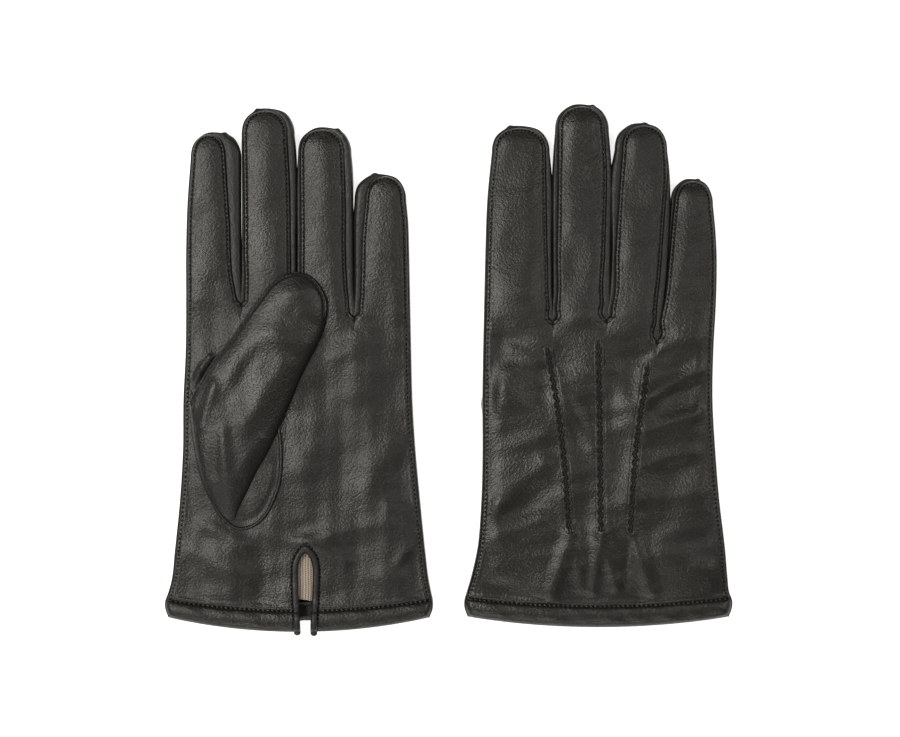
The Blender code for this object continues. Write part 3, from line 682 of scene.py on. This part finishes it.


def attach(piece, pattern, finger):
    """Finds the finger's joint and bakes the piece's placement into its mesh; the piece is not bent round the
    joint.
    """
    hinge = next(j for j in frame["joints"] if j["name"] == f"{pattern.side}_{FINGERS[finger]}_curl")
    x, y, z = hinge["pos_m"]
    reach = BEND_REACH * MM
    y - reach
    y + reach
    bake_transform(piece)


def side_of_finger(pattern, finger):
    """Seam and outline round a finger, point for point: up the left side, round the tip, down the right."""
    fall = pattern.fall_start(finger)
    starts = [pattern.border if (finger == 0 and k == 0) or (finger == 3 and k == 1)
              else pattern.crotches[finger - 1 + k][1] - 1.0 for k in (0, 1)]
    turn = np.linspace(math.pi, 0, 61)
    runs = [np.arange(start, fall, 0.7) for start in starts]
    lines = []
    for line, border, out in ((pattern.seam, TIP_BORDER, 0),
                              (pattern.side_line, 0, gather(pattern, finger, turn))):
        left = np.stack([line(2 * finger, runs[0]), runs[0]], axis=1)
        right = np.stack([line(2 * finger + 1, runs[1]), runs[1]], axis=1)
        ends = [float(line(2 * finger + k, np.array(fall))) for k in (0, 1)]
        arch = np.stack([sum(ends) / 2 + ((ends[1] - ends[0]) / 2 + out) * powered(np.cos(turn)),
                         fall + (TIP - border + out) * powered(np.sin(turn))], axis=1)
        lines.append(np.concatenate([left, arch, right[::-1]]))
    return lines


def make_finger_sides(pattern, finger):
    seam, outline = side_of_finger(pattern, finger)
    level = seam[:, 1]
    past = np.clip((level - pattern.fall_start(finger)) / TIP, 0, 1)
    rise = SEAM_RISE * (1 - past ** 3.0) ** 0.5
    strip = rolled_strip(seam, outline, pattern.middle(finger, level), rise)
    name = f"{pattern.side}_{FINGERS[finger]}"
    piece = grid_object(name + "_sides", pattern, strip, side_nappa, -1)
    attach(piece, pattern, finger)
    own = [n for n in frame["nodes"] if n.startswith(name) and n.endswith("fourchette")]
    forks = [n for n in frame["nodes"] if n.startswith(name) and n.endswith("fork")]
    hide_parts(*own, *forks)


for pattern in patterns.values():
    for finger in range(4):
        for word in ("palm", "back"):
            make_finger_leather(pattern, finger, word)
        make_finger_sides(pattern, finger)


# ---------------------------------------------------------------------------------------------------------
# The stitching
# Black waxed thread: short straight stitches along the finger and side seams, and longer slanted ones that
# hold down the hem. Every stitch is laid in the groove it pulls.

def thread_material():
    """Waxed black sewing thread with a fine twist."""
    net = Net("thread")
    place = net.node("ShaderNodeTexCoord", output=3)
    twist = net.node("ShaderNodeTexNoise", {}, {"Vector": place, "Scale": 2500.0, "Detail": 2.0})
    net.feed("Base Color", net.mix(twist, (0.0015, 0.0015, 0.0015, 1.0), (0.004, 0.004, 0.004, 1.0)))
    bump = net.node("ShaderNodeBump", {}, {"Strength": 0.4, "Distance": 0.0001, "Height": twist})
    net.feed("Normal", bump)
    net.shader.inputs["Roughness"].default_value = 0.8
    net.shader.inputs["Specular IOR Level"].default_value = 0.12
    return net.material


thread = thread_material()


def rounded_stitch(sides=6):
    """One stitch along x, 1 long and 1 across each way: rings whose radius grows and shrinks along it."""
    along = np.array([-1.0, -0.75, 0.0, 0.75, 1.0])
    radius = np.array([0.3, 0.85, 1.0, 0.85, 0.3])
    turn = np.arange(sides) * 2 * np.pi / sides
    rings = np.stack([np.broadcast_to(along[:, None], (5, sides)), radius[:, None] * np.cos(turn),
                      radius[:, None] * np.sin(turn)], axis=-1).reshape(-1, 3)
    low = np.arange(4)[:, None] * sides + np.arange(sides)[None]
    high = np.arange(4)[:, None] * sides + (np.arange(sides)[None] + 1) % sides
    walls = np.stack([low, high, high + sides, low + sides], axis=-1).reshape(-1, 4)
    ends = np.stack([np.arange(sides)[::-1], np.arange(4 * sides, 5 * sides)])
    return rings, walls, ends


def stitch_row(name, pattern, line, half_length=0.66, half_width=0.27, slant=0.0):
    """A row of stitches centred on the line's points and turned along it, or slant radians off it."""
    rings, walls, ends = rounded_stitch()
    tangent = np.gradient(line, axis=0)
    tangent /= np.linalg.norm(tangent, axis=1)[:, None]
    cosine, sine = math.cos(slant), math.sin(slant)
    along = np.stack([tangent[:, 0] * cosine - tangent[:, 1] * sine,
                      tangent[:, 0] * sine + tangent[:, 1] * cosine, tangent[:, 2]], axis=1)
    aside = np.stack([-along[:, 1], along[:, 0], np.zeros(len(along))], axis=1)
    up = np.cross(along, aside)
    size = rings * (half_length, half_width, half_width)
    points = line[:, None] + size[None, :, :1] * along[:, None] + size[None, :, 1:2] * aside[:, None]
    points = (points + size[None, :, 2:] * up[:, None]).reshape(-1, 3)
    first = np.arange(len(line))[:, None, None] * len(rings)
    faces = (walls + first).reshape(-1, 4).tolist() + (ends + first).reshape(-1, ends.shape[1]).tolist()
    return mesh_piece(name, pattern, points, faces, thread)


def moved_in(line, distance):
    """A plane line moved to its right by a distance."""
    tangent = np.gradient(line, axis=0)
    tangent /= np.hypot(tangent[:, 0], tangent[:, 1])[:, None]
    return line + distance * np.stack([tangent[:, 1], -tangent[:, 0]], axis=1)


GROOVE = 1.4        # the stitches' distance from the leather's edge
for pattern in patterns.values():
    word = pattern.data["up"]
    side = pattern.side
    for finger in range(4):
        outline = dense(seam_outline(pattern, finger), STITCH)
        outline = outline[(2 if finger else 0):(-2 if finger < 3 else None)]
        line = moved_in((outline[:-1] + outline[1:]) / 2, GROOVE)
        left, right = pattern.seam(2 * finger, line[:, 1]), pattern.seam(2 * finger + 1, line[:, 1])
        share = np.clip((line[:, 0] - left) / (right - left), 0, 1)
        z = finger_height(pattern, finger, word, line[:, 0], line[:, 1], share) + 0.05
        piece = stitch_row(f"{side}_{FINGERS[finger]}_stitches", pattern, np.column_stack([line, z]))
        attach(piece, pattern, finger)
    for edge, number, inward in (("index", 0, 1), ("little", 7, -1)):
        level = np.arange(HEM_DEPTH + 1.0, pattern.border - 0.5, STITCH)
        x = pattern.seam(number, level) + inward * GROOVE
        z = hand_height(pattern, word, x, level) + 0.12
        line = np.column_stack([x, hem_level(pattern, x, level), z])
        piece = stitch_row(f"{side}_{edge}_side_stitches", pattern, line)
        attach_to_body(piece, side + "_hand")
    x = np.arange(-61, 61.5, HEM_STITCH) + HEM_STITCH / 2
    x = x[np.abs(x - VENT_X) > 7.4] if word == "palm" else x
    level = np.full_like(x, HEM_DEPTH)
    z = hand_height(pattern, word, x, level) + 0.2
    line = np.column_stack([x, hem_level(pattern, x, level, word), z])
    piece = stitch_row(f"{side}_hem_stitches", pattern, line, 0.95, 0.34, -0.45)
    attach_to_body(piece, side + "_hand")


# ---------------------------------------------------------------------------------------------------------
# The points
# Three raised lines on the back: a pinch of the leather stitched through, so that the ridge waves from
# stitch to stitch and draws the leather in at both ends.

def cord_piece(name, pattern, line, half_width, half_height, material, sides=12, taper=5):
    """An oval section carried along a line of points, thinning over the first and last few of them."""
    tangent = np.gradient(line[:, :2], axis=0)
    tangent /= np.hypot(tangent[:, 0], tangent[:, 1])[:, None]
    aside = np.stack([tangent[:, 1], -tangent[:, 0]], axis=1)
    from_end = np.minimum(np.arange(len(line)), np.arange(len(line))[::-1])
    size = np.sqrt(np.clip((from_end + 0.3) / taper, 0, 1))[:, None]
    turn = np.arange(sides)[None] * 2 * np.pi / sides
    plan = line[:, None, :2] + (size * half_width * np.cos(turn))[..., None] * aside[:, None]
    z = line[:, 2:3] + size * half_height * np.sin(turn)
    grid = np.concatenate([plan, z[..., None]], axis=2)
    return grid_object(name, pattern, grid, material, -1, wrap=True)


TUCK_STITCH = 4.1


def tuck_height(d, s, length):
    """Section of a point, d across it: a narrow ridge between two stitched grooves, which sways from side
    to side once a stitch and dies out at both ends; its rims run just under the leather."""
    sway = 0.45 * np.sin(2 * np.pi * s / TUCK_STITCH)
    across = d - sway
    pull = 0.75 + 0.25 * np.cos(4 * np.pi * s / TUCK_STITCH)
    grooves = -0.8 * pull * np.exp(-((np.abs(across) - 0.72) / 0.3) ** 2)
    ridge = 0.4 * np.exp(-(across / 0.32) ** 2)
    ends = smooth(s, 0, 2.5) * smooth(length - s, 0, 2.5)
    return (grooves + ridge) * ends + 0.03 - 0.3 * smooth(np.abs(d), 2.1, 2.7)


for pattern in patterns.values():
    face = pattern.facing("back")
    for name in POINTS:
        line = curve(POINTS[name], 0.3)
        line = np.concatenate([line[:1] * 2 - line[8:9], line, line[-1:] * 2 - line[-9:-8]])
        d = np.linspace(-2.7, 2.7, 45)[None]
        tangent = np.gradient(line, axis=0)
        tangent /= np.hypot(tangent[:, 0], tangent[:, 1])[:, None]
        plan = line[:, None] + d[..., None] * np.stack([-tangent[:, 1], tangent[:, 0]], axis=1)[:, None]
        s = np.concatenate([[0], np.cumsum(np.hypot(*np.diff(line, axis=0).T))])[:, None]
        z = hand_height(pattern, "back", plan[..., 0], plan[..., 1], channel=False)
        beyond = 1 - smooth(s, 0, 2.4) * smooth(s[-1, 0] - s, 0, 2.4)
        z = z + face * (tuck_height(d, s, s[-1, 0]) - 0.4 * beyond)
        grid = np.concatenate([plan, z[..., None]], axis=2)
        piece = grid_object(f"{pattern.side}_{name}_tuck", pattern, grid, nappa, -face)
        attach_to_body(piece, pattern.side + "_hand")
        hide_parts(f"{pattern.side}_{name}_point")


# ---------------------------------------------------------------------------------------------------------
# The vent
# A slit cut up from the middle of the palm's hem, its edge wrapped in a folded strip of leather that makes a
# soft roll. The roll's two ends hang a little below the hem, and a row of stitches holds its outer edge.

BINDING_HALF = 1.65
binding_nappa = leather("binding_nappa", (0.005, 0.0047, 0.0042, 1.0), (0.008, 0.0075, 0.0065, 1.0), 0.42,
                        0.00028)

for pattern in patterns.values():
    side, face = pattern.side, pattern.facing("palm")
    line = dense(vent_line(BINDING_HALF - 0.1, -2.0 if side == "left" else 1.0), 0.5)
    z = hand_height(pattern, "palm", line[:, 0], np.maximum(line[:, 1], 0))
    z = z + face * (0.25 - 0.5 * smooth(-line[:, 1], -2, 2))
    piece = cord_piece(side + "_vent_roll", pattern, np.column_stack([line, z]), BINDING_HALF, 1.15,
                       binding_nappa, sides=18, taper=2)
    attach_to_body(piece, side + "_hand")
    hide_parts(side + "_vent_binding")
    outer = dense(vent_line(BINDING_HALF * 2.1, 1.0), 1.8)
    z = hand_height(pattern, "palm", outer[:, 0], np.maximum(outer[:, 1], 0)) + face * 0.35
    piece = stitch_row(side + "_vent_stitches", pattern, np.column_stack([outer, z]), 0.55, 0.24)
    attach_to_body(piece, side + "_hand")


# ---------------------------------------------------------------------------------------------------------
# The knit lining
# A thin knitted glove inside the leather one, its mouth hidden behind the hem 12.5 mm up, seen only through
# the vent and up the cuff.

LINING_START = 12.5
KNIT_THICK = 0.8
COLUMN_WIDTH, COURSE_HEIGHT = 0.00135, 0.00105     # of the knit's stitches, in metres


def knit_material():
    """Fine ribbed knit: columns of slanted stitches with painted shade darkening the gaps between the loops,
    softly fuzzy.
    """
    net = Net("knit")
    place = net.node("ShaderNodeTexCoord", output=3)
    parts = [net.node("ShaderNodeSeparateXYZ", {}, {0: place}, output=k) for k in range(3)]
    wobble = net.node("ShaderNodeTexNoise", {}, {"Vector": place, "Scale": 120.0, "Detail": 2.0})
    turn = 2 * math.pi / COLUMN_WIDTH
    rise = 2 * math.pi / COURSE_HEIGHT
    column = (parts[0] * turn + wobble * 2.4).sine()
    course = (parts[1] * rise + parts[0] * (rise * 0.5) + column.size() * 1.3 + wobble * 2.0).sine()
    loops = column * 0.5 + course * 0.35 + 0.5
    fuzz = net.node("ShaderNodeTexNoise", {}, {"Vector": place, "Scale": 1600.0, "Detail": 4.0})
    # painted shade: the yarn's colour falls to dark brown in the low gaps between the loops, where the bump is
    # deepest
    loop_light_gap_shade = net.ramp(loops, 0.05, 0.75)
    yarn_with_painted_gap_shade = net.mix(loop_light_gap_shade, (0.12, 0.085, 0.06, 1.0), (0.62, 0.52, 0.43, 1.0))
    net.feed("Base Color", net.mix(fuzz * 0.5, yarn_with_painted_gap_shade, (0.50, 0.42, 0.35, 1.0)))
    bump = net.node("ShaderNodeBump", {}, {"Strength": 0.9, "Distance": 0.0004, "Height": loops + fuzz * 0.4})
    net.feed("Normal", bump)
    net.shader.inputs["Roughness"].default_value = 0.9
    net.shader.inputs["Sheen Weight"].default_value = 0.25
    return net.material


knit = knit_material()


def sleeve(name, pattern, left, right, level, middle, rise, body=None, finger=None, closed=False):
    """A flat tube: at each level a rounded oblong from left to right, closed over at a fingertip."""
    turn = np.arange(48)[None] * 2 * np.pi / 48
    x = (left + right)[:, None] / 2 + (right - left)[:, None] / 2 * powered(np.cos(turn), 0.6)
    z = middle[:, None] + rise[:, None] * powered(np.sin(turn), 0.6)
    grid = np.stack([x, hem_level(pattern, x, np.broadcast_to(level[:, None], x.shape), "back"), z], axis=-1)
    pole = grid[-1].mean(0) + (0, 0.3, 0) if closed else None
    piece = grid_object(name, pattern, grid, knit, -1, pole=pole, wrap=True, caps=False)
    thickness = piece.modifiers.new("thickness", "SOLIDIFY")
    thickness.thickness = KNIT_THICK * MM
    thickness.offset = -1.0
    if finger is None:
        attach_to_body(piece, body)
    else:
        attach(piece, pattern, finger)
    return piece


for pattern in patterns.values():
    side = pattern.side
    level = np.arange(LINING_START, pattern.border + 1, 2.0)
    piece = sleeve(side + "_hand_knit", pattern, pattern.side_line(0, level) + 3.0,
                   pattern.side_line(7, level) - 3.0, level, pattern.middle(1, level),
                   np.full(len(level), 3.3), body=side + "_hand")
    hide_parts(side + "_hand_lining")
    for finger in range(4):
        fall = pattern.fall_start(finger)
        arc = np.linspace(0, 1.45, 10)
        level = np.concatenate([np.arange(pattern.border, fall, 2.5), fall + (TIP - 3.4) * np.sin(arc)])
        shrink = np.concatenate([np.ones(len(level) - 10), np.cos(arc) ** 0.8])
        left, right = pattern.seam(2 * finger, level) + 0.3, pattern.seam(2 * finger + 1, level) - 0.3
        centre, half = (left + right) / 2, (right - left) / 2 * shrink
        name = f"{side}_{FINGERS[finger]}"
        piece = sleeve(name + "_knit", pattern, centre - half, centre + half, level,
                       pattern.middle(finger, level), 2.3 * shrink + 0.3, finger=finger, closed=True)
        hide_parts(name + "_lining")


# ---------------------------------------------------------------------------------------------------------
# The thumbs
# Each thumb is a separate tube let into an oval hole in the palm. Its outer seam runs up one side and over
# the tip as a fine raised line, and the oval is closed with a heavier rolled seam. The left thumb is folded
# over the palm; the right one is folded flat underneath its glove.

THUMB_LEFT = ((-33.5, 53.2), (-38, 57.4), (-43, 65.5), (-46.8, 75.5), (-49.4, 87), (-51, 99), (-51.4, 110),
              (-45.5, 120.9), (-39.7, 130.4), (-32.6, 139), (-25.5, 149.5), (-19.3, 158), (-13.6, 165.2),
              (-8.2, 169.4), (-2, 171.4))
THUMB_RIGHT = ((-30.5, 53.5), (-28, 60), (-24.5, 67), (-19.3, 77.1), (-13.6, 87), (-8.8, 98.5), (-4, 109),
               (0.7, 120), (5.5, 129.8), (10.2, 139), (13.1, 149), (13.2, 158), (9.9, 165), (5.2, 169.8),
               (0, 171.4))
OVAL = ((-51, 115), (-50.6, 105), (-50.2, 96.2), (-48.3, 84.3), (-45.5, 72.4), (-41.2, 62.8), (-35.9, 54.3),
        (-28.8, 49.4), (-22.1, 50.5), (-15.9, 55.7), (-12.1, 62.8), (-9.3, 71), (-8.3, 81.9), (-8.8, 92),
        (-10, 100))
OVAL_UNDER_THUMB = ((-22, 113), (-36, 119.5))
OVAL_CENTRE = (-29.5, 84.0)
LEFT_THUMB_HEIGHT = 6.0
RIGHT_THUMB_FOOT, RIGHT_THUMB_HEIGHT = 0.4, 3.2
THUMB_FOLDS = ((-24, 100, -5, 128, 5.5, 1.1), (-32, 58, -36, 96, 3.4, 0.9), (-4, 161, 6, 164, 4.5, 0.9),
               (-46, 98, -40, 118, 2.6, 1.0), (-40, 76, -38, 98, 3.0, -0.6), (-18, 92, -30, 72, 3.0, 0.6),
               (-34, 110, -20, 132, 3.6, -0.5), (-14, 142, 6, 135, 5.0, 0.8), (-2, 152, 8, 146, 3.0, -0.4))


def thumb_edges(count):
    """The thumb's two edges, station for station from its foot to its tip."""
    stations = np.arange(len(THUMB_LEFT))
    at = np.linspace(0, stations[-1], count)
    edges = []
    for line in (THUMB_LEFT, THUMB_RIGHT):
        line = np.array(line, float)
        edges.append(np.stack([through(at, stations, line[:, k]) for k in (0, 1)], axis=1))
    return edges[0], edges[1], at / stations[-1]


def thumb_top(x, y, u, t, height, seam):
    """Height of the thumb's upper skin over its underside: a round section that swells from the foot and
    falls to the tip, with folds and a seam's lip along the outer edge."""
    swell = smooth(t, -0.05, 0.32) * (1 - 0.35 * smooth(t, 0.75, 1.0)) * (1 - t ** 14) ** 0.5
    profile = (1 - np.abs(2 * u - 1) ** 2.6) ** 0.5
    folds = ridges(x, y, THUMB_FOLDS) + swells(x, y, 31, (16.0, 22.0, 30.0, 12.0), 0.35)
    rim, along = near_line(x, y, seam)
    return height * swell * profile + folds * profile * swell + seam_relief(rim, along, 0.9) * swell


def make_thumb(pattern, foot, height):
    side = pattern.side
    left, right, t = thumb_edges(230 if side == "left" else 80)
    edge = np.linspace(0, 0.12, 14)
    u = np.concatenate([edge[:-1], np.linspace(0.12, 0.88, 60), 1 - edge[-2::-1]])
    if side == "right":
        left = left - (4.0, 0) * smooth(t, 0.15, 0.3)[:, None] * (1 - smooth(t, 0.4, 0.6)[:, None])
    top = left[:, None] + (right - left)[:, None] * u[None, :, None]
    seam = dense(np.concatenate([left[int(0.42 * len(left)):], right[int(0.72 * len(right)):][::-1]]), 0.3)
    share, along = np.broadcast_to(u[None], top.shape[:2]), np.broadcast_to(t[:, None], top.shape[:2])
    lift = thumb_top(top[..., 0], top[..., 1], share, along, height, seam)
    upper = np.concatenate([top, (foot + 0.5 + lift)[..., None]], axis=2)
    below = left[:, None] + (right - left)[:, None] * np.linspace(0.96, 0.04, 12)[None, :, None]
    lower = np.concatenate([below, np.full((*below.shape[:2], 1), foot)], axis=2)
    grid = np.concatenate([upper, lower], axis=1)
    piece = grid_object(side + "_thumb_skin", pattern, grid, nappa, 1, wrap=True)
    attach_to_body(piece, side + "_thumb")
    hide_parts(side + "_thumb_leather", side + "_thumb_lining")
    inset = moved_in(dense(seam, 0.5), 0.45)
    z = np.full(len(inset), foot + height * 0.33)
    line = np.column_stack([inset, z])
    piping = cord_piece(side + "_thumb_seam", pattern, line, 0.5, 0.75, nappa, taper=6)
    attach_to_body(piping, side + "_thumb")


LEFT_THUMB_FOOT = patterns["left"].middle(0, np.array(100.0)) + HAND_RISE + 0.2
make_thumb(patterns["left"], float(LEFT_THUMB_FOOT), LEFT_THUMB_HEIGHT)
make_thumb(patterns["right"], RIGHT_THUMB_FOOT, RIGHT_THUMB_HEIGHT)


def make_oval(pattern):
    """The foot of the thumb inside the oval hole, low and soft, and the rolled seam round it."""
    side, face = pattern.side, pattern.facing("palm")
    ring = curve((*OVAL, *OVAL_UNDER_THUMB, OVAL[0]), 0.6)[:-1]
    centre = np.array(OVAL_CENTRE)
    reach = np.linspace(1, 0, 27)[:, None, None]
    plan = centre + (ring - centre)[None] * reach
    ground = hand_height(pattern, "palm", plan[..., 0], plan[..., 1])
    lift = 0.25 + 1.1 * (1 - reach[..., 0] ** 5) * smooth(plan[..., 1], 48, 58)
    lift = lift - 0.5 * np.exp(-((reach[..., 0] - 0.9) / 0.035) ** 2)
    grid = np.concatenate([plan, (ground + face * lift)[..., None]], axis=2)
    pad = grid_object(side + "_thumb_foot", pattern, grid[:-1], nappa, face, pole=grid[-1, 0],
                      wrap=True, caps=False)
    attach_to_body(pad, side + "_hand")
    ring = curve(OVAL, 0.6)
    z = hand_height(pattern, "palm", ring[:, 0], ring[:, 1]) + face * 0.2
    line = np.column_stack([ring, z])
    roll = cord_piece(side + "_thumb_hole_seam", pattern, line, 0.85, 0.95, binding_nappa, taper=6)
    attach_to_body(roll, side + "_hand")


for pattern in patterns.values():
    make_oval(pattern)


# ---------------------------------------------------------------------------------------------------------
# The stage
# A white table top, itself a little bright, under even, soft light from a large overhead panel and two
# lower ones.

LIGHT_COLOUR = (1.0, 0.98, 0.91)
TABLE_GLOW, ROOM_LIGHT = 0.8, 0.12


def panel(name, place, size, power):
    light = bpy.data.lights.new(name, "AREA")
    light.shape = "RECTANGLE"
    light.size, light.size_y = size
    light.energy = power
    light.color = LIGHT_COLOUR
    obj = bpy.data.objects.new(name, light)
    bpy.context.scene.collection.objects.link(obj)
    obj.location = place
    obj.rotation_euler = (-Vector(place)).to_track_quat("-Z", "Y").to_euler()


floor_mesh = bpy.data.meshes.new("table")
floor_mesh.from_pydata([(-3, -3, 0), (3, -3, 0), (3, 3, 0), (-3, 3, 0)], [], [(0, 1, 2, 3)])
floor = bpy.data.objects.new("table", floor_mesh)
bpy.context.scene.collection.objects.link(floor)
table = Net("table")
table.shader.inputs["Base Color"].default_value = (0.93, 0.93, 0.93, 1.0)
table.shader.inputs["Roughness"].default_value = 0.9
table.shader.inputs["Emission Color"].default_value = (1.0, 1.0, 1.0, 1.0)
table.shader.inputs["Emission Strength"].default_value = TABLE_GLOW
table.shader.inputs["Specular IOR Level"].default_value = 0.1
floor_mesh.materials.append(table.material)

panel("window", (-1.35, 0.42, 2.7), (1.2, 1.2), 54)
panel("side", (1.75, 0.45, 2.3), (0.8, 1.4), 17)
panel("front", (-0.4, -2.2, 1.8), (2.2, 0.7), 23)

world = bpy.data.worlds.new("studio")
bpy.context.scene.world = world
world.use_nodes = True
world.node_tree.nodes["Background"].inputs["Color"].default_value = (1.0, 1.0, 1.0, 1.0)
world.node_tree.nodes["Background"].inputs["Strength"].default_value = ROOM_LIGHT

FOCAL, SENSOR, VIEW_WIDTH = 100.0, 36.0, 0.4284
CAMERA_ASIDE = 0.0007
GLOVE_TOP = 0.012       # the height that the view is VIEW_WIDTH wide at
camera_data = bpy.data.cameras.new("camera")
camera_data.lens = FOCAL
camera_data.sensor_width = SENSOR
camera = bpy.data.objects.new("camera", camera_data)
bpy.context.scene.collection.objects.link(camera)
camera.location = (CAMERA_ASIDE, 0.0, VIEW_WIDTH * FOCAL / SENSOR + GLOVE_TOP)
bpy.context.scene.camera = camera
bpy.context.scene.view_settings.view_transform = "Standard"
